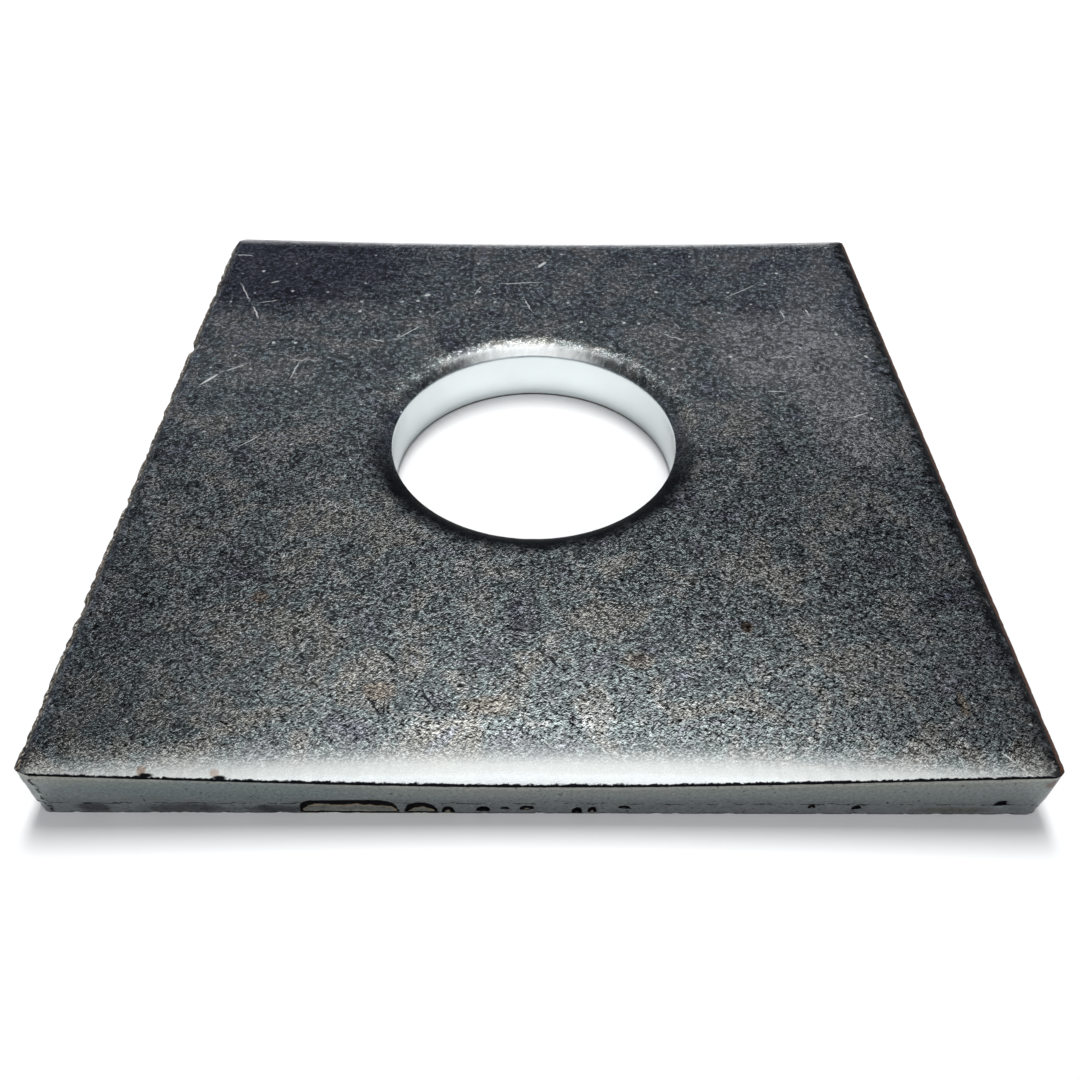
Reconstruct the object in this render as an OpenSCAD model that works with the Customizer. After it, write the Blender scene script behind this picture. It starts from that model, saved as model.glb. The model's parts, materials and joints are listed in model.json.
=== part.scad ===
// Square plate washer: one piece of zinc-plated steel, cut from flat bar and punched for a bolt.
// The cutting tools pulled the upper edges down into a smooth roll and left the lower edges sharp.
// Millimetres. The origin is on the hole's axis at the underside, +Z is up and -Y is the front.

/* [Plate] */
// Width of the plate, left to right, which is the width of the bar
plate_w = 60; // [40:1:100]
// Length of the plate, front to back, between the two sheared ends
plate_l = 60; // [40:1:100]
// Thickness of the plate
plate_t = 5; // [4:0.5:10]
// Radius of the four upright corners, seen from above
corner_r = 0.8; // [0.3:0.1:2]

/* [Bar edges] */
// Width of the roll along the bar's left and right upper edges
bar_roll_w = 1.2; // [0.8:0.1:2]
// Depth of the roll along the bar's left and right upper edges
bar_roll_d = 0.6; // [0.2:0.1:0.8]

/* [Sheared ends] */
// Radius of the roll's section along the front and back upper edges
end_roll_r = 4.4; // [3:0.1:8]
// Depth of the front edge's roll at the middle of the edge
front_roll_d = 1.6; // [0.8:0.1:2]
// Depth of the back edge's roll at the middle of the edge
back_roll_d = 0.9; // [0.8:0.1:2]
// Depth of both rolls at the ends of their edge
corner_roll_d = 0.45; // [0.2:0.05:0.7]
// Height of the torn zone at the foot of the front and back faces
end_tear_h = 1.8; // [0.5:0.1:2]
// How far the torn zone falls back at the underside
end_tear_in = 0.15; // [0.05:0.05:0.4]

/* [Punched hole] */
// Diameter of the hole
hole_d = 22; // [10:0.5:30]
// Sideways distance from the plate's middle to the hole's axis, negative to the left
hole_shift = -0.5; // [-2:0.1:2]
// Width of the roll around the hole's upper rim
hole_roll_w = 1.9; // [1.2:0.1:3]
// Depth of the roll around the hole's upper rim
hole_roll_d = 0.7; // [0.2:0.1:1.2]
// Height of the torn zone at the foot of the hole
hole_tear_h = 0.4; // [0.2:0.1:1]
// How far the torn zone widens the hole at the underside, on the radius
hole_tear_out = 0.15; // [0.05:0.05:0.4]

/* [Hidden] */
$fn = 180;
zinc_grey = [0.42, 0.44, 0.47];
// Cutting shapes run past the faces that they open by this much
past = 1;
hole_r = hole_d / 2;

// Radius of an arc that leaves the upper face level and falls by depth within width
function roll_radius(width, depth) = (width * width + depth * depth) / (2 * depth);

// Width within which an arc of radius r that leaves the upper face level falls by depth
function roll_width(r, depth) = sqrt(2 * r * depth - depth * depth);

// Section of what a roll takes away: all that is above an arc that is level at x = 0 and falls towards -X
module roll_section(r) {
    difference() {
        translate([-r, -r]) square([r, r + past]);
        translate([0, -r]) circle(r);
    }
}

// Outline of the plate from above, with true arcs at its corners
module plate_outline() {
    square([plate_w - 2 * corner_r, plate_l], center = true);
    square([plate_w, plate_l - 2 * corner_r], center = true);
    for (x = [-1, 1], y = [-1, 1])
        translate([x * (plate_w / 2 - corner_r), y * (plate_l / 2 - corner_r)]) circle(corner_r);
}

// Section of the plate from front to back: upright faces whose torn foot falls back at the underside
module end_section() {
    half = plate_l / 2;
    foot = half - end_tear_in;
    polygon([
        [-foot, 0], [foot, 0], [half, end_tear_h],
        [half, plate_t], [-half, plate_t], [-half, end_tear_h]
    ]);
}

// The plate before its edges are rolled and its hole is punched
module blank() {
    intersection() {
        linear_extrude(plate_t) plate_outline();
        rotate([90, 0, 90]) linear_extrude(plate_w, center = true) end_section();
    }
}

// What the roll takes from the front edge: its section turned about a far centre in front of the plate,
// so that the roll is deepest at the middle of the edge and runs out towards the corners
module end_roll(mid_d) {
    mid_w = roll_width(end_roll_r, mid_d);
    sag = mid_w - roll_width(end_roll_r, corner_roll_d);
    bow_r = (pow(plate_w / 2, 2) + sag * sag) / (2 * sag);
    half_turn = asin((plate_w / 2 + past) / bow_r);
    translate([0, mid_w - plate_l / 2 - bow_r, plate_t])
        rotate_extrude(angle = 2 * half_turn, start = 90 - half_turn)
            translate([bow_r, 0]) roll_section(end_roll_r);
}

// What the roll takes from the bar's left edge, the same all along
module bar_roll() {
    translate([bar_roll_w - plate_w / 2, plate_l / 2 + past, plate_t])
        rotate([90, 0, 0])
            linear_extrude(plate_l + 2 * past) roll_section(roll_radius(bar_roll_w, bar_roll_d));
}

// What the punch takes away: the bore, the roll around its upper rim and the torn foot that opens downwards
module punched_hole() {
    tear_slope = hole_tear_out / hole_tear_h;
    translate([0, 0, -past]) cylinder(h = plate_t + 2 * past, r = hole_r);
    translate([0, 0, plate_t])
        rotate_extrude()
            translate([hole_r + hole_roll_w, 0]) roll_section(roll_radius(hole_roll_w, hole_roll_d));
    translate([0, 0, -past])
        cylinder(h = hole_tear_h + past, r1 = hole_r + tear_slope * (hole_tear_h + past), r2 = hole_r);
}

// The whole washer, one solid
module plate_washer() {
    color(zinc_grey)
        difference() {
            translate([-hole_shift, 0, 0])
                difference() {
                    blank();
                    end_roll(front_roll_d);
                    mirror([0, 1, 0]) end_roll(back_roll_d);
                    bar_roll();
                    mirror([1, 0, 0]) bar_roll();
                }
            punched_hole();
        }
}

plate_washer();
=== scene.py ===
"""A square plate washer of zinc-plated steel, dressed and lit as in its photograph.

The washer is one closed ring of rows: up the outer faces, in over the upper face, down the bore and back
along the underside. A node tree lays the rows around the plate's outline and the punched hole, then tears,
pits and wears them. Sizes and node trees are in millimetres; Blender's own objects are in metres.
"""

import json
import logging
import math
from collections.abc import Mapping, Sequence
from dataclasses import dataclass
from enum import Enum
from functools import partial, reduce
from typing import Any, Self, TypeAlias

import bpy
from mathutils import Matrix, Vector


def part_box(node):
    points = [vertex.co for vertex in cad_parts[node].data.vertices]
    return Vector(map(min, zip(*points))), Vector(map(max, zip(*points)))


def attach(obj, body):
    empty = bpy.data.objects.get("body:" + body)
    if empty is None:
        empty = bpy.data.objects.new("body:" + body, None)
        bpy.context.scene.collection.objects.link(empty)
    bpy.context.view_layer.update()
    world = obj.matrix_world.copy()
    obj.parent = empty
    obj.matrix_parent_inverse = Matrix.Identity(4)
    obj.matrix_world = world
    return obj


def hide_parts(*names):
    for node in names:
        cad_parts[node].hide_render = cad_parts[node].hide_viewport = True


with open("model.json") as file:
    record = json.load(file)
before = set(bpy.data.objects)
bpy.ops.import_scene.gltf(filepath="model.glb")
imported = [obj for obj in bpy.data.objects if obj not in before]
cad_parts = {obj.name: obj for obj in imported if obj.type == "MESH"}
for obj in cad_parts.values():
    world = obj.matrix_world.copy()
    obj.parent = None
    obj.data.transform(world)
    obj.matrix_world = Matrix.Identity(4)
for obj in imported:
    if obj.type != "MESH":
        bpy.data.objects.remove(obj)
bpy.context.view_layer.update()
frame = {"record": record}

LOG = logging.getLogger("plate_washer")
MM = 0.001
FAR = 1e6
Value: TypeAlias = "Sock | float"
Colour: TypeAlias = tuple[float, float, float]
# Where a smooth step begins and where it ends
Fade: TypeAlias = tuple[float, float]


class Sock:
    """An output socket on which arithmetic adds Math nodes to the same tree."""

    def __init__(self, bench: "Bench", socket: bpy.types.NodeSocket | None) -> None:
        """Keep the socket and the bench that it came from."""
        self.bench = bench
        self.socket = socket

    def also(self, key: int | str) -> "Sock":
        """Another output of the node that this socket belongs to."""
        return Sock(self.bench, self.bench.find(self.socket.node.outputs, key))

    def __add__(self, other: Value) -> "Sock":
        """This value plus another."""
        return self.bench.math("ADD", self, other)

    def __radd__(self, other: float) -> "Sock":
        """A number plus this value."""
        return self.bench.math("ADD", other, self)

    def __sub__(self, other: Value) -> "Sock":
        """This value less another."""
        return self.bench.math("SUBTRACT", self, other)

    def __rsub__(self, other: float) -> "Sock":
        """A number less this value."""
        return self.bench.math("SUBTRACT", other, self)

    def __mul__(self, other: Value) -> "Sock":
        """This value times another."""
        return self.bench.math("MULTIPLY", self, other)

    def __rmul__(self, other: float) -> "Sock":
        """A number times this value."""
        return self.bench.math("MULTIPLY", other, self)

    def __truediv__(self, other: Value) -> "Sock":
        """This value over another."""
        return self.bench.math("DIVIDE", self, other)

    def __pow__(self, other: Value) -> "Sock":
        """This value to a power."""
        return self.bench.math("POWER", self, other)

    def __abs__(self) -> "Sock":
        """This value without its sign."""
        return self.bench.math("ABSOLUTE", self)

    def __gt__(self, other: Value) -> "Sock":
        """One where this value is above another, zero elsewhere."""
        return self.bench.math("GREATER_THAN", self, other)

    def __lt__(self, other: Value) -> "Sock":
        """One where this value is below another, zero elsewhere."""
        return self.bench.math("LESS_THAN", self, other)


class Bench:
    """Builds one node tree, for a mesh or for a material."""

    def __init__(self, tree: bpy.types.NodeTree) -> None:
        """Start on a tree and take its stock nodes out."""
        self.tree = tree
        tree.nodes.clear()

    @staticmethod
    def find(sockets: Any, key: int | str) -> bpy.types.NodeSocket:
        """The socket with that place, identifier or name.

        Args:
            sockets: a node's inputs or outputs.
            key: the socket's index, identifier or name.

        Returns:
            The first socket that fits.
        """
        if isinstance(key, int):
            return sockets[key]
        return next(s for s in sockets if key in (s.identifier, s.name))

    def node(
        self,
        kind: str,
        settings: Mapping[str, Any] | None = None,
        sockets: Mapping[int | str, Any] | None = None,
        out: int | str = 0,
    ) -> Sock:
        """Add a node.

        Args:
            kind: the node's type.
            settings: properties to set first; "stops" fills a ramp and "captures" names captured values.
            sockets: a value or a link for each input, by index, identifier or name.
            out: the output to return.

        Returns:
            That output.
        """
        made = self.tree.nodes.new(kind)
        for key, value in (settings or {}).items():
            if key == "stops":
                self.set_stops(made.color_ramp, value)
            elif key == "captures":
                for name in value:
                    made.capture_items.new("FLOAT", name)
            else:
                setattr(made, key, value)
        for key, value in (sockets or {}).items():
            self.plug(self.find(made.inputs, key), value)
        return Sock(self, self.find(made.outputs, out)) if made.outputs else Sock(self, None)

    def plug(self, socket: bpy.types.NodeSocket, value: Any) -> None:
        """Link a socket or set its value.

        Args:
            socket: the input.
            value: another node's output, or a plain value.
        """
        if isinstance(value, Sock):
            self.tree.links.new(value.socket, socket)
        elif socket.type == "RGBA" and len(value) == 3:
            socket.default_value = (*value, 1.0)
        else:
            socket.default_value = value

    @staticmethod
    def set_stops(ramp: bpy.types.ColorRamp, stops: Sequence[tuple[float, Colour]]) -> None:
        """Give a colour ramp its stops.

        Args:
            ramp: the ramp.
            stops: place and colour of each stop, in order.
        """
        while len(ramp.elements) < len(stops):
            ramp.elements.new(1.0)
        for element, (place, colour) in zip(ramp.elements, stops, strict=True):
            element.position = place
            element.color = (*colour, 1.0)

    def math(self, operation: str, *values: Value, clamp: bool = False) -> Sock:
        """The result of a Math node."""
        settings = {"operation": operation, "use_clamp": clamp}
        return self.node("ShaderNodeMath", settings, dict(enumerate(values)))

    def vector(self, operation: str, *values: Any, out: int | str = 0) -> Sock:
        """The result of a Vector Math node."""
        return self.node("ShaderNodeVectorMath", {"operation": operation}, dict(enumerate(values)), out)

    def scaled(self, vector: Any, factor: Value) -> Sock:
        """A vector times a number."""
        return self.node("ShaderNodeVectorMath", {"operation": "SCALE"}, {0: vector, "Scale": factor})

    def highest(self, *values: Value) -> Sock:
        """The largest of several values."""
        return reduce(partial(self.math, "MAXIMUM"), values)

    def lowest(self, *values: Value) -> Sock:
        """The smallest of several values."""
        return reduce(partial(self.math, "MINIMUM"), values)

    def root(self, value: Value) -> Sock:
        """The square root of a value, or of zero where it is negative."""
        return self.math("SQRT", self.math("MAXIMUM", value, 0.0))

    def clamp(self, value: Value) -> Sock:
        """A value held between zero and one."""
        return self.math("ADD", value, 0.0, clamp=True)

    def ramp(self, value: Value, low: Value, high: Value) -> Sock:
        """A smooth step from zero at low to one at high, which may be the lower of the two."""
        sockets = {"Value": value, "From Min": low, "From Max": high}
        return self.node("ShaderNodeMapRange", {"interpolation_type": "SMOOTHSTEP"}, sockets)

    def xyz(self, x: Value, y: Value, z: Value) -> Sock:
        """A vector from its three parts."""
        return self.node("ShaderNodeCombineXYZ", {}, {"X": x, "Y": y, "Z": z})

    def parts(self, vector: Sock) -> tuple[Sock, Sock, Sock]:
        """The three parts of a vector."""
        x = self.node("ShaderNodeSeparateXYZ", {}, {0: vector})
        return x, x.also("Y"), x.also("Z")

    def noise(
        self, place: Sock, scale: float, detail: float = 2.0, warp: float = 0.0, rough: float = 0.5
    ) -> Sock:
        """Cloudy noise around a half.

        Args:
            place: where to read it, in millimetres.
            scale: about how many clouds a millimetre.
            detail: how many finer layers are added.
            warp: how much the clouds are distorted.
            rough: how strong each finer layer is.

        Returns:
            The noise value.
        """
        return self.node("ShaderNodeTexNoise", {"noise_dimensions": "3D"}, {
            "Vector": place,
            "Scale": scale,
            "Detail": detail,
            "Distortion": warp,
            "Roughness": rough,
        })

    def mix(self, factor: Value, first: Sock | Colour, second: Sock | Colour) -> Sock:
        """A mix of two colours.

        Args:
            factor: zero for the first colour, one for the second.
            first: the first colour.
            second: the second colour.

        Returns:
            The mixed colour.
        """
        sockets = {"Factor_Float": factor, "A_Color": first, "B_Color": second}
        return self.node("ShaderNodeMix", {"data_type": "RGBA"}, sockets, "Result_Color")


class Zone(Enum):
    """The stretches of rows in one turn around the washer's section: where each begins and ends."""

    UNDERSIDE_OUT = (0, 3)
    OUTER_FACE = (3, 29)
    UPPER_FACE = (29, 75)
    BORE = (75, 85)
    UNDERSIDE_IN = (85, 88)

    @property
    def first(self) -> float:
        """The row at which this zone begins."""
        return float(self.value[0])

    @property
    def last(self) -> float:
        """The row at which this zone ends and the next begins."""
        return float(self.value[1])


@dataclass(frozen=True)
class Tear:
    """A lip on the front face where the steel tore: a recess under an arched overhang."""

    x: float
    foot: float
    half_width: float
    height: float
    depth: float

    @property
    def squareness(self) -> float:
        """Power of the arch's outline, which is square-shouldered on a long tear and round on a pit."""
        return 8.0 if self.half_width > 1.0 else 2.0

    @property
    def shadow_reach(self) -> float:
        """How far the painted shadow under the lip runs down."""
        return 1.75 * self.depth + min(0.58, 0.65 * self.height)


@dataclass(frozen=True)
class Nick:
    """A notch in the left edge."""

    y: float
    half_width: float
    depth: float


@dataclass(frozen=True)
class Facet:
    """A blow on an upright corner: a flat from a point on one face to a point on the next, from above."""

    x0: float
    y0: float
    x1: float
    y1: float


@dataclass(frozen=True)
class Scratch:
    """A straight mark on a face, widest half way from one point to the other."""

    x0: float
    y0: float
    x1: float
    y1: float
    width: float = 0.16


@dataclass(frozen=True)
class Blot:
    """A soft-edged patch of colour on a face: most are stains, and some are painted shadows."""

    x: float
    y: float
    half_x: float
    half_y: float
    colour: Colour
    strength: float


class Coat:
    """A finish under way: it reads the surface's place and marks, and ends in one shader."""

    def __init__(self, name: str) -> None:
        """Start an empty material of that name."""
        self.made = bpy.data.materials.new(name)
        self.made.use_nodes = True
        self.bench = bench = Bench(self.made.node_tree)
        self.place = bench.scaled(bench.node("ShaderNodeTexCoord", out="Object"), 1.0 / MM)
        self.x, self.y, self.z = bench.parts(self.place)
        self.cloud = bench.noise(self.place, 0.3, 4.0, 0.6, 0.6)
        self.patch = bench.noise(self.place, 1.15, 3.0, 0.4, 0.65) - 0.5

    def mark(self, name: str) -> Sock:
        """A mark that the washer's form left on its points."""
        return self.bench.node("ShaderNodeAttribute", {"attribute_name": name}, out="Fac")

    def oval(
        self, place: Sock, middle: tuple[float, float], halves: tuple[float, float], turn: float = 0.0
    ) -> Sock:
        """Distance from an oval's middle, one at its rim.

        Args:
            place: where it is read; its third part does not count.
            middle: the oval's middle.
            halves: half of its length and half of its width.
            turn: angle of its length, in radians.

        Returns:
            The distance.
        """
        sockets = {
            "Vector": place,
            "Location": (*middle, 0.0),
            "Rotation": (0.0, 0.0, turn),
            "Scale": (*halves, FAR),
        }
        inside = self.bench.node("ShaderNodeMapping", {"vector_type": "TEXTURE"}, sockets)
        return self.bench.vector("LENGTH", inside, out="Value")

    def scratched(self, marks: tuple[Scratch, ...]) -> Sock:
        """How much of a mark lies at each place.

        Args:
            marks: the scratches or cracks.

        Returns:
            One on a mark, zero beside it.
        """
        wavy = self.bench.vector("ADD", self.place, self.bench.scaled((1.0, 1.0, 0.0), 0.5 * self.patch))
        ovals = []
        for mark in marks:
            run = Vector((mark.x1 - mark.x0, mark.y1 - mark.y0))
            middle = ((mark.x0 + mark.x1) / 2, (mark.y0 + mark.y1) / 2)
            halves = (run.length / 2, mark.width / 2)
            ovals.append(self.oval(wavy, middle, halves, math.atan2(run.y, run.x)))
        return self.bench.ramp(self.bench.lowest(*ovals), 1.0, 0.5)

    def stained_and_shaded(self, colour: Sock, place: Sock, blots: tuple[Blot, ...]) -> Sock:
        """Lay blots on a colour: stains, and some painted shadows.

        Args:
            colour: the colour under them.
            place: where they are read; its third part does not count.
            blots: the stains and painted shadows.

        Returns:
            The colour with its blots.
        """
        for blot in blots:
            far = self.oval(place, (blot.x, blot.y), (blot.half_x, blot.half_y))
            inside = self.bench.ramp(far + 0.9 * self.patch, 1.1, 0.5)
            colour = self.bench.mix(inside * blot.strength, colour, blot.colour)
        return colour

    def close(self, colour: Sock, metallic: Value, roughness: Value, height: Sock) -> bpy.types.Material:
        """End the material in its shader.

        Args:
            colour: the base colour.
            metallic: how much of the surface is bare metal.
            roughness: how dull it is.
            height: the relief, in millimetres.

        Returns:
            The finished material.
        """
        bench = self.bench
        relief = {"Strength": 1.0, "Distance": MM, "Height": height}
        bump = bench.node("ShaderNodeBump", {}, relief, "Normal")
        shader = bench.node("ShaderNodeBsdfPrincipled", {}, {
            "Base Color": colour,
            "Metallic": metallic,
            "Roughness": roughness,
            "Normal": bump,
            "Specular IOR Level": 0.15,
        })
        bench.node("ShaderNodeOutputMaterial", {}, {"Surface": shader})
        return self.made


@dataclass(frozen=True)
class RolledZinc:
    """Dull zinc on the bar's rolled faces: crossed fine strokes, faint tints, scratches and rusty edges,
    with painted glints, a painted sheen on the rolls and painted shade along the front edge and in front of
    the hole.
    """

    stroke_scale: float = 14.0
    stroke_length: float = 3.4
    stroke_turns: tuple[float, ...] = (42.0, -28.0, 8.0)
    stroke_height: float = 0.004
    clump_scale: float = 2.6
    crease_scale: float = 1.1
    brightest: float = 2.0
    # Where the ground's painted sheen grows towards the front, and where the painted lift and the clumps
    # grow towards the back
    near_front: Fade = (-15.0, -27.0)
    towards_back: Fade = (-4.0, 10.0)
    # Distance from the hole's wall within which the rim takes its pale colour, a painted highlight
    polished_highlight_reach: Fade = (2.6, 2.0)
    right_soot: Fade = (1.7, 0.8)
    left_soot: Fade = (0.9, 0.6)
    back_soot: Fade = (0.6, 0.35)
    # Painted shade: a dark line along the front edge's fold
    front_lip_shade: Fade = (0.11, 0.05)
    # Painted shade: a dark ring around the hole's front and sides
    hole_shade_reach: Fade = (2.6, 0.9)
    hole_shade_front: Fade = (2.0, -6.0)
    rust_edge: Fade = (0.52, 0.36)
    tan_edge: Fade = (0.55, 0.45)
    olive_edge: Fade = (0.34, 0.2)
    # Level of the soft clouds, and the colour there
    tints: tuple[tuple[float, Colour], ...] = (
        (0.28, (0.375, 0.40, 0.465)),
        (0.40, (0.425, 0.455, 0.475)),
        (0.48, (0.385, 0.45, 0.45)),
        (0.55, (0.475, 0.495, 0.485)),
        (0.66, (0.485, 0.475, 0.435)),
        (0.74, (0.42, 0.445, 0.475)),
    )
    # Pale colours of the smooth rolled steel and of the hole's rim, which carry a painted sheen and a
    # painted highlight
    drawn: Colour = (0.72, 0.75, 0.735)
    polished_highlight: Colour = (0.86, 0.89, 0.89)
    # Near-black of cracks and darkened bands, also used for painted shade
    soot_and_shade: Colour = (0.010, 0.011, 0.015)
    rust: Colour = (0.085, 0.034, 0.018)
    tan: Colour = (0.24, 0.20, 0.15)
    olive: Colour = (0.11, 0.09, 0.04)
    # Pale colour of scratches, and of painted glints
    chip_and_glint: Colour = (0.85, 0.88, 0.86)
    scratches: tuple[Scratch, ...] = (
        Scratch(-27.3, 21.7, -25.4, 17.7),
        Scratch(-25.4, 17.7, -24.1, 15.0),
        Scratch(-25.1, 17.8, -22.9, 18.3, 0.12),
        Scratch(-27.4, 5.4, -25.8, 7.4, 0.36),
        Scratch(-25.8, 7.4, -23.7, 8.7, 0.14),
        Scratch(-28.9, 26.3, -26.5, 26.0),
        Scratch(-24.4, 21.2, -23.5, 21.6, 0.22),
        Scratch(-21.3, 9.3, -17.1, 9.1, 0.10),
        Scratch(-22.6, -2.2, -20.9, -0.6, 0.12),
        Scratch(16.8, 18.7, 20.9, 21.6, 0.10),
        Scratch(21.9, 17.4, 22.2, 15.5, 0.12),
        Scratch(24.1, 17.5, 24.5, 15.9, 0.12),
        Scratch(19.9, 9.8, 22.5, 10.0, 0.12),
        Scratch(18.5, 5.2, 20.8, 5.1, 0.12),
        Scratch(26.9, -28.5, 27.7, -29.3, 0.12),
        Scratch(-10.1, 19.1, -9.3, 19.5, 0.50),
        Scratch(0.1, 23.9, 1.2, 25.4, 0.45),
        Scratch(-14.4, 12.4, -12.6, 11.7, 0.13),
        Scratch(-12.4, 11.7, -9.4, 14.9, 0.13),
        Scratch(-4.1, 21.2, 1.7, 21.6, 0.13),
        Scratch(-5.6, 19.0, -4.8, 21.1, 0.12),
        Scratch(-1.1, 19.1, -0.1, 16.1, 0.12),
        Scratch(-20.1, 6.0, -19.5, 9.6, 0.12),
        Scratch(10.5, 13.7, 13.4, 11.9, 0.12),
        Scratch(24.1, 1.5, 26.7, 2.5, 0.12),
    )
    cracks: tuple[Scratch, ...] = (
        Scratch(-0.2, -20.6, 2.1, -23.3, 0.26),
        Scratch(-2.2, -19.7, -0.3, -19.8, 0.20),
        Scratch(25.2, -24.8, 25.6, -26.0, 0.40),
        Scratch(-9.6, -21.2, -8.0, -22.9, 0.20),
        Scratch(-7.0, -24.0, -5.4, -26.2, 0.18),
        Scratch(-10.3, -24.5, -8.5, -26.7, 0.20),
        Scratch(-8.9, -24.9, -8.7, -26.5, 0.18),
        Scratch(8.2, -18.2, 9.6, -20.4, 0.16),
        Scratch(5.2, -21.0, 7.0, -20.2, 0.18),
    )
    blots: tuple[Blot, ...] = (
        Blot(24.5, 8.0, 4.0, 15.0, (0.92, 0.94, 0.89), 0.75),
        Blot(19.5, 11.0, 4.5, 6.5, (0.92, 0.90, 0.88), 0.75),
        Blot(-23.0, 24.0, 14.0, 9.0, (0.12, 0.125, 0.165), 0.8),
        Blot(13.6, -19.5, 0.5, 0.6, (0.20, 0.14, 0.10), 0.9),
        Blot(-17.8, -17.1, 0.7, 0.6, (0.40, 0.30, 0.23), 0.7),
        Blot(-9.2, -24.5, 1.2, 0.8, (0.52, 0.42, 0.32), 0.6),
        Blot(6.6, -22.2, 1.3, 0.8, (0.52, 0.43, 0.34), 0.5),
        Blot(-2.5, -25.5, 2.2, 0.9, (0.56, 0.48, 0.39), 0.5),
        Blot(25.7, -25.4, 0.3, 1.1, (0.55, 0.46, 0.36), 0.8),
        # Brown dents on the front lip, each with a black blot in front of it as its painted shadow
        Blot(-22.2, -29.65, 0.34, 0.3, (0.36, 0.25, 0.19), 0.75),
        Blot(-21.9, -29.86, 0.5, 0.14, (0.006, 0.006, 0.008), 1.0),
        Blot(-18.1, -29.7, 0.34, 0.25, (0.38, 0.28, 0.22), 0.65),
        Blot(-17.8, -29.88, 0.5, 0.12, (0.006, 0.006, 0.008), 1.0),
    )

    def material(self, washer: "PlateWasher") -> bpy.types.Material:
        """Make the finish for the faces of that washer.

        Args:
            washer: the washer, for the place of its edges.

        Returns:
            The material.
        """
        coat = Coat("rolled_zinc")
        bench = coat.bench
        drawn = coat.mark("drawn")
        relief, bright = self.strokes(coat)
        colour = bench.node("ShaderNodeValToRGB", {"stops": self.tints}, {0: coat.cloud})
        from_hole = bench.root(coat.x * coat.x + coat.y * coat.y) - washer.hole_r
        # Painted highlight: near the hole the smooth steel takes the pale rim colour, strongest at the
        # rim's back
        smooth = bench.mix(bench.ramp(from_hole, *self.polished_highlight_reach), self.drawn, self.polished_highlight)
        colour = coat.stained_and_shaded(bench.mix(0.9 * drawn, colour, smooth), coat.place, self.blots)
        colour = bench.scaled(colour, self.ground(coat, bright, drawn))
        # Scratches, and bright flecks painted as glints
        chips_and_glints = bench.highest(coat.scratched(self.scratches), self.glint_specks(coat))
        colour = bench.mix(0.8 * chips_and_glints, colour, self.chip_and_glint)
        colour = bench.mix(0.85 * coat.scratched(self.cracks), colour, self.soot_and_shade)
        colour, dull, soot_and_shade_cover = self.edges(coat, washer, from_hole, colour)
        roughness = 0.09 + 0.6 * bench.highest(dull, soot_and_shade_cover)
        metallic = 1.0 - bench.highest(0.95 * dull, 0.5 * chips_and_glints)
        height = relief * self.stroke_height * (1.0 - 0.75 * drawn)
        return coat.close(colour, metallic, roughness, height)

    def strokes(self, coat: Coat) -> tuple[Sock, Sock]:
        """The grain: fine bright strokes, painted into the colour as glints, and dark cuts that lean three
        ways and cross.

        The ground is paler near the front as a painted sheen and brighter towards the back as painted
        light, and towards the back the strokes stand in clumps.

        Args:
            coat: the finish under way.

        Returns:
            The grain's height, one on the level ground, and how bright it is.
        """
        bench = coat.bench
        layers = []
        for turn in self.stroke_turns:
            sockets = {
                "Vector": coat.place,
                "Rotation": (0.0, 0.0, math.radians(turn)),
                "Scale": (self.stroke_length, 1.0, 1.0),
            }
            leaning = bench.node("ShaderNodeMapping", {"vector_type": "TEXTURE"}, sockets)
            layers.append(bench.noise(leaning, self.stroke_scale, 0.5, 0.3))
        level = bench.ramp(bench.lowest(*layers), 0.33, 0.43)
        glints = bench.ramp(bench.highest(*layers), 0.60, 0.74)
        near = bench.ramp(coat.y, *self.near_front)
        far = bench.ramp(coat.y, *self.towards_back)
        clumps = bench.noise(coat.place, self.clump_scale, 2.0, 0.6)
        patches = 3.0 * coat.patch + 1.8 * (coat.cloud - 0.5) + 2.4 * (clumps - 0.5)
        mottle = bench.highest(1.05 + patches * (1.0 - 0.6 * near), 0.3)
        flecked = 1.0 - far * (1.0 - 2.4 * bench.ramp(clumps, 0.50, 0.64))
        # Painted light: the ground is paler near the front and lifted towards the back, and the glints are
        # painted highlights
        bright = 0.01 + (0.50 + 0.36 * near) * (level + 0.5 * far * (0.8 - level))
        bright = bright + (2.0 - 0.9 * near) * flecked * glints
        return level + glints, bench.lowest(bright * mottle * (1.0 + 0.75 * far), self.brightest)

    def ground(self, coat: Coat, bright: Sock, drawn: Sock) -> Sock:
        """How bright the ground is: darker in broken creases, and raised towards white where the steel is
        worked smooth, partly as a painted sheen.

        Args:
            coat: the finish under way.
            bright: how bright the grain is.
            drawn: how far the steel is worked smooth, with the painted sheen of the rolls and of the hole
                rim's back.

        Returns:
            The brightness.
        """
        bench = coat.bench
        off = abs(bench.noise(coat.place, self.crease_scale, 2.0, 1.5, 0.6) - 0.5)
        bright = bright * (1.0 - 0.8 * bench.ramp(off, 0.035, 0.008) * bench.ramp(coat.patch, -0.1, 0.1))
        # Painted sheen: where the steel is worked smooth the ground is raised towards white
        return bright + (1.05 - bright) * (0.95 * drawn)

    def glint_specks(self, coat: Coat) -> Sock:
        """Small bright flecks here and there: painted glints.

        Args:
            coat: the finish under way.

        Returns:
            One on a chip, zero beside it.
        """
        bench = coat.bench
        settings = {"voronoi_dimensions": "2D", "feature": "F1"}
        sockets = {"Vector": coat.place, "Scale": 0.6}
        far = bench.node("ShaderNodeTexVoronoi", settings, sockets, "Distance")
        chosen, size, _ = bench.parts(far.also("Color"))
        far = far - 0.05 * size * size * bench.ramp(coat.y, -6.0, 12.0)
        far = far + 0.16 * (bench.noise(coat.place, 7.0, 1.0, 0.3) - 0.5)
        return bench.ramp(far, 0.06, 0.03) * (chosen > 0.45) * (0.25 + 0.75 * size * size)

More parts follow.
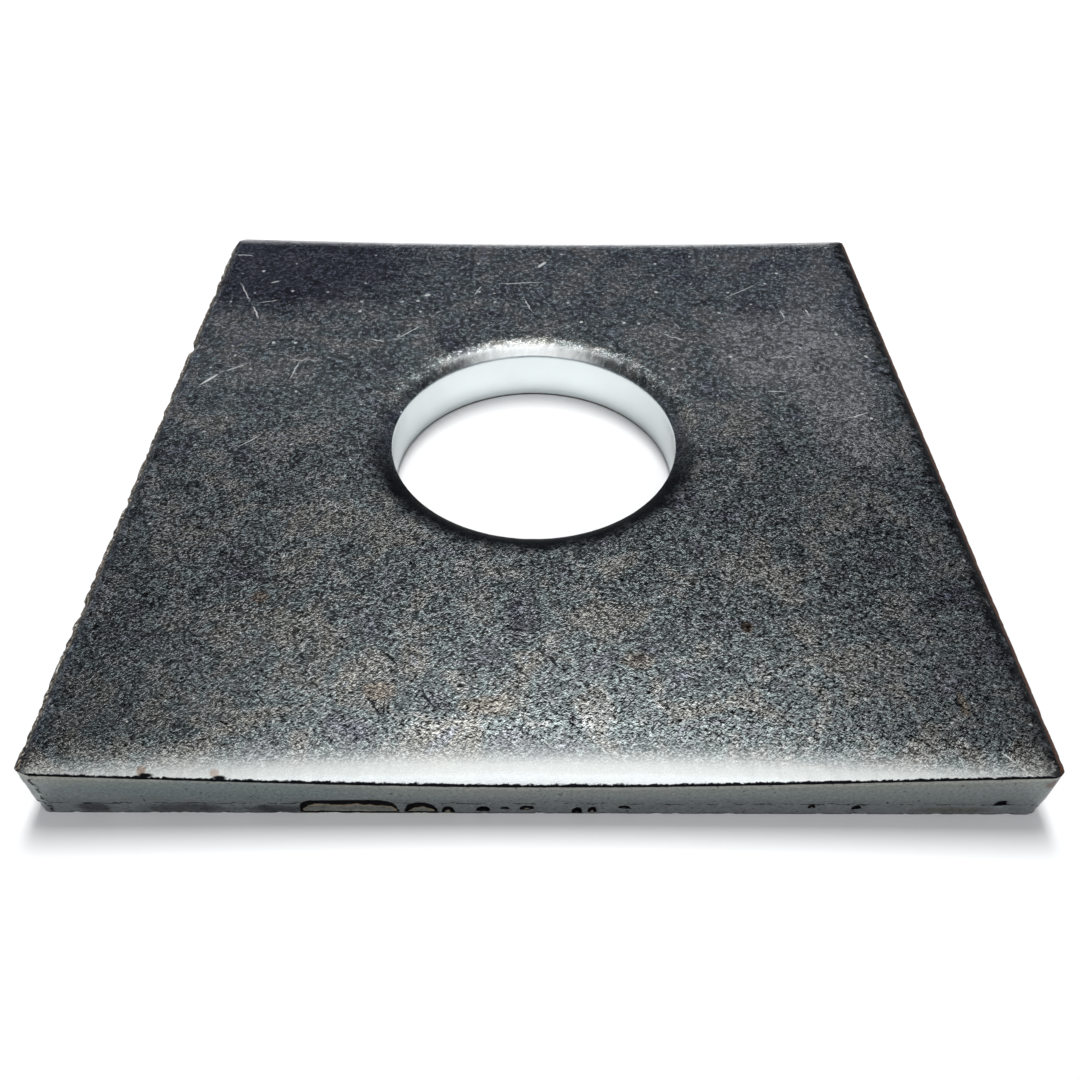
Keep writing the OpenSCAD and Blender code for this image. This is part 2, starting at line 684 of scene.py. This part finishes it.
    def edges(
        self, coat: Coat, washer: "PlateWasher", from_hole: Sock, colour: Sock
    ) -> tuple[Sock, Sock, Sock]:
        """Dark edges: darkened bands, rust along the right one, tan beads along the left one, an olive line
        along the back, and painted shade along the front edge and in front of the hole.

        Args:
            coat: the finish under way.
            washer: the washer, for the place of its edges.
            from_hole: distance from the hole's wall.
            colour: the colour under them.

        Returns:
            The colour with the edges on it, how dull they make the metal, and how far the darkened bands
            and the painted shade cover it.
        """
        bench, ragged = coat.bench, coat.patch
        right = washer.middle_x + washer.plate_w / 2 - coat.x
        left = coat.x - (washer.middle_x - washer.plate_w / 2)
        back = washer.plate_l / 2 - coat.y + 0.4 * ragged
        beads = bench.noise(coat.place, 4.5, 2.0, 0.4)
        front = coat.y + washer.plate_l / 2 + 0.10 * ragged + 0.18 * (beads - 0.5)
        soot_and_shade_cover = bench.highest(
            0.92 * bench.ramp(right + 3.0 * ragged, *self.right_soot),
            0.7 * bench.ramp(left + 0.9 * ragged, *self.left_soot),
            0.8 * bench.ramp(back, *self.back_soot),
            # Painted shade along the front edge's fold
            bench.ramp(front, *self.front_lip_shade),
            # Painted shade in front of and beside the hole
            0.96 * bench.ramp(from_hole + 1.6 * ragged, *self.hole_shade_reach)
            * bench.ramp(coat.y, *self.hole_shade_front),
        )
        colour = bench.mix(soot_and_shade_cover, colour, self.soot_and_shade)
        rust = bench.ramp(right + 0.3 * ragged, *self.rust_edge) * bench.ramp(beads, 0.30, 0.50)
        tan = bench.ramp(left + 0.3 * ragged, *self.tan_edge)
        olive = bench.ramp(back, *self.olive_edge)
        tan_beads = bench.mix(bench.ramp(beads, 0.42, 0.60), self.soot_and_shade, self.tan)
        # Painted glints among the left edge's beads
        tan_beads = bench.mix(bench.ramp(beads, 0.62, 0.70), tan_beads, self.chip_and_glint)
        colour = bench.mix(rust, colour, self.rust)
        colour = bench.mix(olive, colour, self.olive)
        colour = bench.mix(tan, colour, tan_beads)
        return colour, bench.highest(rust, olive, tan), soot_and_shade_cover


@dataclass(frozen=True)
class ShearedSteel:
    """The outer faces: burnished under the upper edge, torn and darker below, with painted shadow under
    torn lips and a painted shade line under the upper edge.
    """

    burnished: Colour = (0.180, 0.200, 0.188)
    sheared: Colour = (0.165, 0.186, 0.185)
    torn: Colour = (0.185, 0.205, 0.208)
    bared: Colour = (0.235, 0.255, 0.235)
    edged: Colour = (0.27, 0.275, 0.245)
    fringe: Colour = (0.40, 0.31, 0.19)
    # Near-black of dark lines and flecks, also used for painted shade and painted shadow
    soot_and_shade: Colour = (0.006, 0.006, 0.008)
    fleck_scale: float = 5.0
    torn_height: float = 1.35
    split_x: float = -28.5
    torn_edge: Fade = (1.1, 1.6)
    burnish_band: Fade = (1.2, 1.0)
    edged_band: Fade = (0.5, 0.35)
    upper_edge_shade: Fade = (0.15, 0.09)
    torn_line: Fade = (0.08, 0.03)
    split_line: Fade = (0.16, 0.08)
    foot_line: Fade = (0.12, 0.04)
    stains: tuple[Blot, ...] = (
        Blot(-25.9, 0.7, 1.2, 0.8, (0.015, 0.018, 0.024), 0.9),
        Blot(-15.0, 0.5, 2.2, 0.7, (0.02, 0.025, 0.032), 0.85),
        Blot(-20.6, 0.5, 3.2, 0.9, (0.03, 0.036, 0.042), 0.8),
        Blot(-18.0, 2.9, 11.0, 1.3, (0.10, 0.135, 0.14), 0.45),
        Blot(30.2, 3.7, 0.9, 0.55, (0.07, 0.035, 0.02), 0.8),
        Blot(25.0, 0.5, 3.0, 0.5, (0.07, 0.05, 0.03), 0.5),
    )

    def material(self) -> bpy.types.Material:
        """Make the finish.

        Returns:
            The material.
        """
        coat = Coat("sheared_steel")
        bench, ragged = coat.bench, coat.patch
        below, under_lip = coat.mark("below_edge"), coat.mark("under_lip")
        fleck = bench.noise(coat.place, self.fleck_scale, 2.0, 0.6)
        upright = bench.xyz(coat.x, coat.z, 0.0)
        colour = bench.mix(bench.ramp(coat.z + 0.9 * ragged, *self.torn_edge), self.torn, self.sheared)
        band = below + 0.25 * ragged
        colour = bench.mix(bench.ramp(band, *self.burnish_band), colour, self.burnished)
        colour = bench.mix(0.7 * bench.ramp(band, *self.edged_band), colour, self.edged)
        colour = coat.stained_and_shaded(colour, upright, self.stains)
        colour = bench.mix(bench.ramp(under_lip, 1.0, 1.1), colour, self.bared)
        colour = bench.mix(0.7 * bench.ramp(abs(under_lip - 1.15), 0.2, 0.1), colour, self.fringe)
        colour = bench.scaled(colour, 0.4 + 1.2 * fleck)
        broken = bench.ramp(ragged, -0.06, 0.04)
        lines = (
            # Painted shadow under each torn lip
            bench.ramp(under_lip, -0.1, 0.05) * bench.ramp(under_lip + 0.9 * ragged, 1.15, 0.95),
            # Painted shade: a dark line just under the upper edge
            bench.ramp(below + 0.12 * ragged, *self.upper_edge_shade),
            0.8 * broken * bench.ramp(abs(coat.z + 0.9 * ragged - self.torn_height), *self.torn_line),
            0.8 * broken * bench.ramp(abs(coat.x - self.split_x + 1.2 * ragged), *self.split_line),
            0.7 * bench.ramp(fleck + 0.5 * ragged, 0.30, 0.24),
            0.8 * bench.ramp(coat.z + 0.2 * ragged, *self.foot_line),
        )
        dark = bench.highest(*lines)
        return coat.close(bench.mix(dark, colour, self.soot_and_shade), 1.0, 0.37 + 0.55 * dark, 0.03 * fleck)


@dataclass(frozen=True)
class PunchedBore:
    """The bore's wall: bright and clean, with a thin dark line at its foot and painted shade towards its
    sides.
    """

    bright: Colour = (0.75, 0.805, 0.81)
    foot: Colour = (0.06, 0.055, 0.04)
    foot_line: Fade = (0.24, 0.1)
    side_shade: Fade = (4.0, 11.0)

    def material(self) -> bpy.types.Material:
        """Make the finish.

        Returns:
            The material.
        """
        coat = Coat("punched_bore")
        bench = coat.bench
        # Painted shade: the wall darkens towards its sides
        shade = 0.92 + 0.16 * coat.cloud - 0.14 * bench.ramp(abs(coat.x), *self.side_shade)
        line = 0.85 * bench.ramp(coat.z + 0.25 * coat.patch, *self.foot_line)
        colour = bench.mix(line, bench.scaled(self.bright, shade), self.foot)
        return coat.close(colour, 1.0, 0.23, 0.02 * coat.patch)


@dataclass
class PlateWasher:
    """The washer: a plate sheared from bar and punched, as one closed mesh. Sizes in millimetres."""

    plate_w: float
    plate_l: float
    plate_t: float
    middle_x: float
    hole_r: float
    corner_r: float = 0.8
    bar_roll_w: float = 1.2
    bar_roll_d: float = 0.6
    end_roll_r: float = 4.4
    front_roll_d: float = 1.6
    back_roll_d: float = 0.9
    corner_roll_d: float = 0.45
    end_tear_h: float = 1.8
    end_tear_in: float = 0.15
    hole_roll_w: float = 1.9
    hole_roll_d: float = 0.7
    hole_tear_h: float = 0.4
    hole_tear_out: float = 0.15
    unevenness: float = 0.05
    ripple_height: float = 0.05
    foot_wear: float = 0.08
    right_wear: float = 0.05
    bead_depth: float = 0.16
    # Where along y, towards the back, the hole rim's painted highlight fades in
    rim_highlight_fade: Fade = (7.5, 10.5)
    sharp_fold: float = 75.0
    corner_steps: int = 8
    columns: int = 1100
    front_crowding: float = 0.45
    tears: tuple[Tear, ...] = (
        Tear(-10.9, 0.15, 2.95, 1.55, 0.13),
        Tear(-6.6, 0.15, 1.0, 1.3, 0.12),
        Tear(-5.0, 0.2, 0.38, 0.72, 0.12),
        Tear(-2.9, 0.3, 0.42, 0.62, 0.12),
        Tear(-1.6, 0.5, 0.3, 0.4, 0.08),
        Tear(-0.3, 0.55, 0.45, 0.5, 0.08),
        Tear(2.7, 0.2, 0.32, 0.62, 0.12),
        Tear(3.6, 0.35, 0.28, 0.58, 0.12),
        Tear(5.5, 0.7, 0.35, 0.4, 0.08),
        Tear(16.6, 0.95, 0.22, 0.35, 0.08),
        Tear(19.3, 0.6, 0.3, 0.55, 0.12),
        Tear(27.7, 1.2, 0.42, 0.65, 0.15),
    )
    nicks: tuple[Nick, ...] = (
        Nick(-7.9, 0.7, 0.18),
        Nick(11.3, 0.5, 0.28),
        Nick(-18.0, 0.9, 0.12),
        Nick(20.5, 0.8, 0.12),
    )
    facets: tuple[Facet, ...] = (
        Facet(-29.5, -29.65, -28.5, -30.0),
        Facet(-28.5, 30.0, -29.5, 28.1),
    )

    @classmethod
    def from_frame(cls) -> Self:
        """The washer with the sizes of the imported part.

        Returns:
            The washer, not built yet.
        """
        low, high = (Vector(corner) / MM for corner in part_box("plate_washer"))
        hole = next(m for m in frame["record"]["mounts"] if m["kind"] == "bore")
        extent = high - low
        return cls(extent.x, extent.y, extent.z, (low.x + high.x) / 2, hole["dims"]["r_mm"])

    @staticmethod
    def roll_radius(width: float, depth: float) -> float:
        """Radius of an arc that leaves the upper face level and falls by depth within width."""
        return (width**2 + depth**2) / (2 * depth)

    def roll_width(self, depth: float) -> float:
        """Width within which an end's roll falls by depth."""
        return math.sqrt(2 * self.end_roll_r * depth - depth**2)

    def bow(self, depth: float) -> tuple[float, float]:
        """The far circle that an end's roll follows, deepest at the middle of its edge.

        Args:
            depth: the roll's depth at the middle.

        Returns:
            The circle's radius, and how far its centre lies from the plate's middle.
        """
        width = self.roll_width(depth)
        sag = width - self.roll_width(self.corner_roll_d)
        radius = ((self.plate_w / 2) ** 2 + sag**2) / (2 * sag)
        return radius, self.plate_l / 2 - width + radius

    def inputs(self) -> dict[str, float]:
        """The node tree's named inputs.

        Returns:
            Each input's value in millimetres, by name.
        """
        front_r, front_y = self.bow(self.front_roll_d)
        back_r, back_y = self.bow(self.back_roll_d)
        return {
            "Plate width": self.plate_w,
            "Plate length": self.plate_l,
            "Plate thickness": self.plate_t,
            "Plate middle": self.middle_x,
            "Corner radius": self.corner_r,
            "Hole radius": self.hole_r,
            "Hole roll start": self.hole_r + self.hole_roll_w,
            "Hole roll radius": self.roll_radius(self.hole_roll_w, self.hole_roll_d),
            "Hole tear height": self.hole_tear_h,
            "Hole tear width": self.hole_tear_out,
            "Bar roll start": self.plate_w / 2 - self.bar_roll_w,
            "Bar roll radius": self.roll_radius(self.bar_roll_w, self.bar_roll_d),
            "End roll radius": self.end_roll_r,
            "Front bow radius": front_r,
            "Front bow centre": -front_y,
            "Back bow radius": back_r,
            "Back bow centre": back_y,
            "End tear height": self.end_tear_h,
            "End tear depth": self.end_tear_in,
        }

    def build(self) -> bpy.types.Object:
        """Make the washer's mesh and give it its finishes.

        Returns:
            The finished piece.
        """
        tree = bpy.data.node_groups.new("washer_form", "GeometryNodeTree")
        identifiers = {}
        for name in self.inputs():
            item = tree.interface.new_socket(name=name, in_out="INPUT", socket_type="NodeSocketFloat")
            identifiers[name] = item.identifier
        tree.interface.new_socket(name="Washer", in_out="OUTPUT", socket_type="NodeSocketGeometry")
        self.lay_form(Bench(tree))
        piece = bpy.data.objects.new("square_washer", bpy.data.meshes.new("square_washer_seed"))
        bpy.context.scene.collection.objects.link(piece)
        modifier = piece.modifiers.new("form", "NODES")
        modifier.node_group = tree
        for name, value in self.inputs().items():
            modifier[identifiers[name]] = value
        graph = bpy.context.evaluated_depsgraph_get()
        mesh = bpy.data.meshes.new_from_object(piece.evaluated_get(graph), depsgraph=graph)
        piece.modifiers.remove(modifier)
        piece.data = mesh
        return piece

    def lay_form(self, bench: Bench) -> None:
        """Build the tree that lays the rows, wears them and sets their finishes.

        Args:
            bench: the tree to build.
        """
        size = {s.name: Sock(bench, s) for s in bench.tree.nodes.new("NodeGroupInput").outputs if s.name}
        around, row, ring = self.ring(bench)
        x_out, y_out, n_x, n_y = self.outline(bench, size, around)
        reach = bench.root(x_out * x_out + y_out * y_out)
        x_hole, y_hole = x_out / reach * size["Hole radius"], y_out / reach * size["Hole radius"]

        stretch = {zone: bench.clamp((row - zone.first) / (zone.last - zone.first)) for zone in Zone}
        eased = bench.ramp(stretch[Zone.UPPER_FACE], 0.0, 1.0)
        along = 0.5 + 0.5 * stretch[Zone.UNDERSIDE_OUT] - eased + 0.5 * stretch[Zone.UNDERSIDE_IN]
        x, y = x_hole + (x_out - x_hole) * along, y_hole + (y_out - y_hole) * along
        rise = stretch[Zone.OUTER_FACE] - stretch[Zone.BORE]
        upper, drawn = self.upper_face(bench, size, x, y)
        z = rise * upper

        on_face = bench.math("COMPARE", along, 1.0, 1e-4) * (stretch[Zone.UPPER_FACE] < 1e-6)
        foot = bench.clamp(1.0 - z / size["End tear height"]) * size["End tear depth"] * abs(n_y) * along
        torn, under_lip = self.tear_front(bench, x, z, n_y)
        inset = foot + torn * on_face + self.worn(bench, bench.xyz(x, y, z), n_x, n_y) * along**8.0
        flare = bench.clamp(1.0 - z / size["Hole tear height"]) * size["Hole tear width"] * (1.0 - along)
        x = x - n_x * inset + x_out / reach * flare
        y = y - n_y * inset + y_out / reach * flare
        x, y = self.struck(bench, x, y)

        shape = bench.node("GeometryNodeSetPosition", {}, {
            "Geometry": ring, "Position": bench.scaled(bench.xyz(x, y, z), MM),
        })
        # The first mark holds the smooth rolled steel and the painted highlight on the back of the hole's
        # rim
        for name, value in (("drawn", drawn), ("below_edge", upper - z), ("under_lip", under_lip)):
            settings = {"data_type": "FLOAT", "domain": "POINT"}
            sockets = {"Geometry": shape, "Name": name, "Value": value}
            shape = bench.node("GeometryNodeStoreNamedAttribute", settings, sockets)
        shape = bench.node("GeometryNodeSetShadeSmooth", {"domain": "FACE"}, {
            "Geometry": shape, "Shade Smooth": True,
        })
        fold = bench.node("GeometryNodeInputMeshEdgeAngle")
        shape = bench.node("GeometryNodeSetShadeSmooth", {"domain": "EDGE"}, {
            "Geometry": shape, "Shade Smooth": fold < math.radians(self.sharp_fold),
        })
        shape = bench.node("GeometryNodeRealizeInstances", {}, {"Geometry": shape})
        self.set_finishes(bench, row, shape)

    def set_finishes(self, bench: Bench, row: Sock, shape: Sock) -> None:
        """Give each zone its finish and end the tree.

        Args:
            bench: the tree to build.
            row: each point's row.
            shape: the washer without its finishes.
        """
        finishes = (
            (None, RolledZinc().material(self)),
            (Zone.OUTER_FACE, ShearedSteel().material()),
            (Zone.BORE, PunchedBore().material()),
        )
        for zone, material in finishes:
            inside = (row > zone.first) * (row < zone.last) if zone else True
            sockets = {"Geometry": shape, "Selection": inside, "Material": material}
            shape = bench.node("GeometryNodeSetMaterial", {}, sockets)
        bench.node("NodeGroupOutput", {}, {"Washer": shape})

    def ring(self, bench: Bench) -> tuple[Sock, Sock, Sock]:
        """A closed ring of columns and rows, still without its form.

        Args:
            bench: the tree to build.

        Returns:
            Each point's place around the ring from zero to one, its row, and the ring.
        """
        index = bench.node("GeometryNodeInputIndex")
        circle = "GeometryNodeCurvePrimitiveCircle"
        rows = Zone.UNDERSIDE_IN.value[1]
        path = bench.node(circle, {"mode": "RADIUS"}, {"Resolution": self.columns, "Radius": 1.0})
        section = bench.node(circle, {"mode": "RADIUS"}, {"Resolution": rows, "Radius": 0.1})
        capture = "GeometryNodeCaptureAttribute"
        sockets = {"Geometry": path, "around": index / float(self.columns)}
        path = bench.node(capture, {"captures": ["around"]}, sockets)
        section = bench.node(capture, {"captures": ["row"]}, {"Geometry": section, "row": index + 0.0})
        ring = bench.node("GeometryNodeCurveToMesh", {}, {"Curve": path, "Profile Curve": section})
        return path.also("around"), section.also("row"), ring

    def outline(
        self, bench: Bench, size: Mapping[str, Sock], around: Sock
    ) -> tuple[Sock, Sock, Sock, Sock]:
        """Points on the plate's outline, crowded along the front edge.

        Args:
            bench: the tree to build.
            size: the tree's inputs.
            around: each point's place around the ring.

        Returns:
            The point's x and y from the hole's axis, and the x and y of the outline's outward normal.
        """
        front_middle = 0.625
        full_turn = 2.0 * math.pi
        swing = bench.math("SINE", (around - front_middle) * full_turn)
        factor = bench.math("FRACT", around - swing * (self.front_crowding / full_turn))
        square = bench.node("GeometryNodeCurvePrimitiveQuadrilateral", {"mode": "RECTANGLE"}, {
            "Width": size["Plate width"], "Height": size["Plate length"],
        })
        rounded = bench.node("GeometryNodeFilletCurve", {"mode": "POLY"}, {
            "Curve": square, "Count": self.corner_steps, "Radius": size["Corner radius"],
        })
        position = bench.node("GeometryNodeSampleCurve", {"mode": "FACTOR"}, {
            "Curves": rounded, "Factor": factor,
        }, "Position")
        x, y, _ = bench.parts(position)
        t_x, t_y, _ = bench.parts(position.also("Tangent"))
        return x + size["Plate middle"], y, t_y, 0.0 - t_x

    def upper_face(self, bench: Bench, size: Mapping[str, Sock], x: Sock, y: Sock) -> tuple[Sock, Sock]:
        """Height of the upper face, which rolls down towards the outer edges and the hole.

        Args:
            bench: the tree to build.
            size: the tree's inputs.
            x: sideways distance from the hole's axis.
            y: distance behind the hole's axis.

        Returns:
            The height above the underside, and how far the steel is worked smooth there, with a painted
            highlight on the back of the hole's rim.
        """
        def fall(past: Sock, radius: Sock) -> Sock:
            """How far a roll of that radius has fallen, past its start."""
            past = bench.math("MAXIMUM", past, 0.0)
            return radius - bench.root(radius * radius - past * past)

        x_plate = x - size["Plate middle"]
        ends = []
        for end in ("Front", "Back"):
            y_far = y - size[f"{end} bow centre"]
            from_centre = bench.root(x_plate * x_plate + y_far * y_far)
            ends.append(fall(size[f"{end} bow radius"] - from_centre, size["End roll radius"]))
        side = fall(abs(x_plate) - size["Bar roll start"], size["Bar roll radius"])
        hole = fall(size["Hole roll start"] - bench.root(x * x + y * y), size["Hole roll radius"])
        fallen = bench.highest(*ends, side, hole)
        level = bench.xyz(x, y, 0.0)
        ripple = bench.noise(level, 1.3, 3.0) * (fallen > 0.05)
        uneven = self.unevenness * bench.noise(level, 0.16, 2.0) + self.ripple_height * ripple
        # Painted highlight: the hole's rim counts as smooth steel mostly at its back, where it faces the
        # light
        rim = bench.ramp(hole, 0.04, 0.3) * (0.10 + 0.90 * bench.ramp(y, *self.rim_highlight_fade))
        drawn = bench.highest(bench.ramp(bench.highest(*ends), 0.03, 0.8), rim)
        return size["Plate thickness"] - fallen - uneven, drawn

    def worn(self, bench: Bench, place: Sock, n_x: Sock, n_y: Sock) -> Sock:
        """Roughness of the outer faces: torn feet on the sheared ends, beads and nicks on the left.

        Args:
            bench: the tree to build.
            place: where it is read, in millimetres.
            n_x: the outline's outward normal along x.
            n_y: the outline's outward normal along y.

        Returns:
            How far the face lies inside its plain form.
        """
        _, y, z = bench.parts(place)
        ragged = bench.ramp(bench.noise(place, 0.9, 3.0, 0.4, 0.6), 0.48, 0.72)
        ends = self.foot_wear * ragged * bench.ramp(z, 2.2, 1.0) * abs(n_y)
        left = bench.ramp(n_x, -0.6, -0.95)
        beads = self.bead_depth * bench.ramp(bench.noise(place, 1.2, 2.0, 0.3, 0.6), 0.40, 0.66)
        notches = [nick.depth * bench.ramp(abs(y - nick.y), nick.half_width, 0.2) for nick in self.nicks]
        right = self.right_wear * ragged * bench.ramp(n_x, 0.6, 0.95)
        return ends + left * (beads + bench.highest(*notches)) + right

    def struck(self, bench: Bench, x: Sock, y: Sock) -> tuple[Sock, Sock]:
        """Press the points beyond each corner facet back to it.

        Args:
            bench: the tree to build.
            x: sideways distance from the hole's axis.
            y: distance behind the hole's axis.

        Returns:
            The moved x and y.
        """
        for facet in self.facets:
            out = Vector((facet.y1 - facet.y0, facet.x0 - facet.x1)).normalized()
            past = bench.math("MAXIMUM", (x - facet.x0) * out.x + (y - facet.y0) * out.y, 0.0)
            x, y = x - past * out.x, y - past * out.y
        return x, y

    def tear_front(self, bench: Bench, x: Sock, z: Sock, n_y: Sock) -> tuple[Sock, Sock]:
        """Tears and pits in the front face.

        Args:
            bench: the tree to build.
            x: sideways distance from the hole's axis.
            z: height above the underside.
            n_y: the outline's outward normal along y.

        Returns:
            How deep the face is torn, and how far a point lies below a lip, one where its painted shadow
            ends.
        """
        on_front = bench.ramp(n_y, -0.6, -0.9)
        deep, under = [], []
        for tear in self.tears:
            across = (x - tear.x) / tear.half_width
            inside = 1.0 - abs(across) ** tear.squareness
            arch = tear.height * (bench.root(inside) - bench.root(0.0 - inside))
            lip = bench.highest(arch - (z - tear.foot), -1.0)
            above_foot = z - tear.foot + 0.1
            deep.append(tear.depth * bench.ramp(bench.lowest(lip, above_foot), 0.0, 0.12))
            under.append(lip / tear.shadow_reach * (above_foot > 0.0) - (above_foot < 0.0))
        return bench.highest(*deep) * on_front, bench.highest(*under) * on_front + on_front - 1.0

    def place(self, piece: bpy.types.Object) -> None:
        """Put the piece in the frame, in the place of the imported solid."""
        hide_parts("plate_washer")
        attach(piece, "root")


@dataclass(frozen=True)
class Softbox:
    """A square-cornered area lamp that faces the washer. Angles are seen from the washer, in degrees."""

    name: str
    elevation: float
    height_angle: float
    width_angle: float
    radiance: float
    mirrored: bool = True
    distance: float = 0.5

    def build(self, target: Vector) -> bpy.types.Object:
        """Make the lamp.

        Args:
            target: the point that it faces.

        Returns:
            The lamp, whose elevation counts from the far horizon, over the top, towards the camera.
        """
        lamp = bpy.data.lights.new(self.name, "AREA")
        lamp.shape = "RECTANGLE"
        lamp.size = 2 * self.distance * math.tan(math.radians(self.width_angle / 2))
        lamp.size_y = 2 * self.distance * math.tan(math.radians(self.height_angle / 2))
        lamp.energy = self.radiance * math.pi * lamp.size * lamp.size_y
        made = bpy.data.objects.new(self.name, lamp)
        made.visible_glossy = self.mirrored
        bpy.context.scene.collection.objects.link(made)
        tilt = math.radians(self.elevation)
        made.location = target + self.distance * Vector((0.0, math.cos(tilt), math.sin(tilt)))
        made.rotation_euler = (target - made.location).to_track_quat("-Z", "Y").to_euler()
        return made


@dataclass(frozen=True)
class Studio:
    """A pale floor, soft light and the photograph's camera, in millimetres and degrees."""

    camera_place: tuple[float, float, float] = (0.161, -59.627, 53.969)
    camera_pitch: float = 45.694
    camera_yaw: float = 0.368
    camera_roll: float = -0.476
    lens: float = 33.04
    sensor: float = 36.0
    floor_half: float = 0.9
    floor_colour: Colour = (0.92, 0.92, 0.92)
    floor_lift: float = 0.03
    # How far up a direction points, and the colour of the room there
    room_stops: tuple[tuple[float, Colour], ...] = (
        (0.45, (0.105, 0.115, 0.150)),
        (0.53, (0.165, 0.176, 0.210)),
        (0.60, (0.250, 0.262, 0.290)),
        (0.66, (0.075, 0.080, 0.090)),
        (0.72, (0.040, 0.042, 0.045)),
    )
    strip_half: float = 0.44
    strip_side: float = 0.04
    strip_flare: float = 0.45
    flare_fade: Fade = (0.15, -0.35)
    strip_top: float = 4.0
    # How far back a direction points, and the level of the strip there
    strip_stops: tuple[tuple[float, float], ...] = (
        (-0.97, 0.3), (-0.90, 1.15), (-0.68, 1.15), (-0.57, 1.1), (-0.42, 1.0), (-0.29, 0.95), (-0.12, 1.0),
        (0.16, 1.25), (0.42, 1.75), (0.52, 1.80), (0.56, 1.45), (0.60, 0.58), (0.64, 0.09), (0.68, 0.03),
        (0.74, 0.02), (0.95, 0.02),
    )
    boxes: tuple[Softbox, ...] = (Softbox("floor_strip", 72.0, 24.0, 10.0, 31.0, mirrored=False),)

    def build(self, target: Vector) -> None:
        """Make the floor, the lamps, the world and the camera.

        Args:
            target: the point that the lamps face.
        """
        self.floor()
        for box in self.boxes:
            box.build(target)
        self.world()
        self.camera()
        bpy.context.scene.view_settings.view_transform = "Standard"

    def floor(self) -> None:
        """A plain pale floor that keeps the washer's shadow."""
        mesh = bpy.data.meshes.new("floor")
        half = self.floor_half
        corners = [(-half, -half, 0.0), (half, -half, 0.0), (half, half, 0.0), (-half, half, 0.0)]
        mesh.from_pydata(corners, [], [(0, 1, 2, 3)])
        made = bpy.data.objects.new("floor", mesh)
        bpy.context.scene.collection.objects.link(made)
        material = bpy.data.materials.new("pale_floor")
        material.use_nodes = True
        bench = Bench(material.node_tree)
        ray = bench.node("ShaderNodeLightPath", out="Is Camera Ray")
        seen = bench.highest(ray, ray.also("Is Glossy Ray"), ray.also("Is Transmission Ray"))
        paper = bench.node("ShaderNodeBsdfDiffuse", {}, {"Color": self.floor_colour})
        glow = bench.scaled((1.0, 1.0, 1.0), seen * self.floor_lift)
        lift = bench.node("ShaderNodeEmission", {}, {"Color": glow, "Strength": 1.0})
        both = bench.node("ShaderNodeAddShader", {}, {0: paper, 1: lift})
        bench.node("ShaderNodeOutputMaterial", {}, {"Surface": both})
        mesh.materials.append(material)

    def world(self) -> None:
        """A dim, faintly blue room with a long strip of soft light overhead, from the back to the front."""
        made = bpy.data.worlds.new("dim_room")
        made.use_nodes = True
        bench = Bench(made.node_tree)
        side, back, up = bench.parts(bench.node("ShaderNodeTexCoord", out="Generated"))
        stops = [((place + 1.0) / 2, (level / self.strip_top,) * 3) for place, level in self.strip_stops]
        level = bench.node("ShaderNodeValToRGB", {"stops": stops}, {0: back * 0.5 + 0.5})
        half = self.strip_half + self.strip_flare * bench.ramp(back, *self.flare_fade)
        cover = bench.ramp(abs(side - self.strip_side), half, 0.0)
        strip = bench.scaled(level, self.strip_top * cover * (up > 0.0))
        room = bench.node("ShaderNodeValToRGB", {"stops": self.room_stops}, {0: up})
        light = bench.vector("ADD", room, strip)
        glow = bench.node("ShaderNodeBackground", {}, {"Color": light, "Strength": 1.0})
        bench.node("ShaderNodeOutputWorld", {}, {"Surface": glow})
        bpy.context.scene.world = made

    def camera(self) -> None:
        """The photograph's camera, close above the front edge."""
        data = bpy.data.cameras.new("camera")
        data.lens = self.lens
        data.sensor_width = self.sensor
        data.sensor_fit = "HORIZONTAL"
        data.clip_start = 0.001
        made = bpy.data.objects.new("camera", data)
        bpy.context.scene.collection.objects.link(made)
        turn = Matrix.Rotation(math.radians(-self.camera_yaw), 4, "Z")
        lean = Matrix.Rotation(math.radians(90.0 - self.camera_pitch), 4, "X")
        roll = Matrix.Rotation(math.radians(-self.camera_roll), 4, "Z")
        made.matrix_world = Matrix.Translation(Vector(self.camera_place) * MM) @ turn @ lean @ roll
        bpy.context.scene.camera = made


def main() -> None:
    """Build the washer and its studio, and report each piece."""
    logging.basicConfig(level=logging.INFO, format="%(name)s: %(message)s")
    washer = PlateWasher.from_frame()
    piece = washer.build()
    washer.place(piece)
    LOG.info("%s: %d faces", piece.name, len(piece.data.polygons))
    Studio().build(Vector((0.0, 0.0, washer.plate_t * MM)))
    LOG.info("studio: floor, lamps and camera")


if __name__ == "__main__":
    main()
